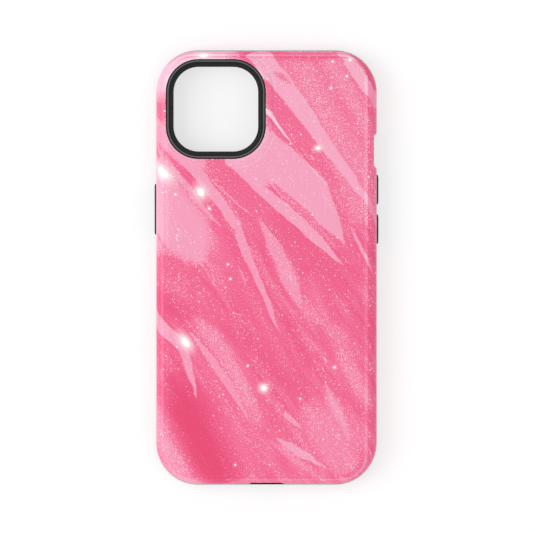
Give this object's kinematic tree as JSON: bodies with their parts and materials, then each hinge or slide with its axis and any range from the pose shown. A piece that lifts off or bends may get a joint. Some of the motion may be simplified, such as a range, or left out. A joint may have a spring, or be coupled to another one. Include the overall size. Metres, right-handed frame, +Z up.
{
  "type": "two-layer phone case",
  "caption": "Two-layer phone case: glossy printed hard shell over a soft black inner liner, with a raised camera collar and side button caps.",
  "frame": {"origin": "middle of the bottom of the bounding box, under the front rim that the case lies on", "axes": "+Z up through the back, with the camera opening on top; the case lies face down and the phone goes in from below; +Y is the top edge and +X the right side, seen from the back"},
  "size_m": [0.0794, 0.1538, 0.0125],
  "materials": {
    "printed_plastic": "glossy hard plastic with a pink marble and glitter print",
    "soft_black": "matte soft black",
    "cap_black": "satin soft black"
  },
  "bodies": {
    "liner": {"inner_liner": "soft_black"},
    "shell": {"outer_shell": "printed_plastic"},
    "side_cap": {"side_button": "cap_black"},
    "volume_up_cap": {"volume_up_button": "cap_black"},
    "volume_down_cap": {"volume_down_button": "cap_black"}
  },
  "joints": [
    {"name": "shell_release", "type": "slide", "parent": "liner", "child": "shell", "axis": [0, 0, 1], "range_m": [0, 0.02]},
    {"name": "side_button_press", "type": "slide", "parent": "liner", "child": "side_cap", "axis": [1, 0, 0], "range_m": [0, 0.0004], "stiffness_N_per_m": 1200},
    {"name": "volume_up_press", "type": "slide", "parent": "liner", "child": "volume_up_cap", "axis": [-1, 0, 0], "range_m": [0, 0.0004], "stiffness_N_per_m": 1200},
    {"name": "volume_down_press", "type": "slide", "parent": "liner", "child": "volume_down_cap", "axis": [-1, 0, 0], "range_m": [0, 0.0004], "stiffness_N_per_m": 1200}
  ]
}
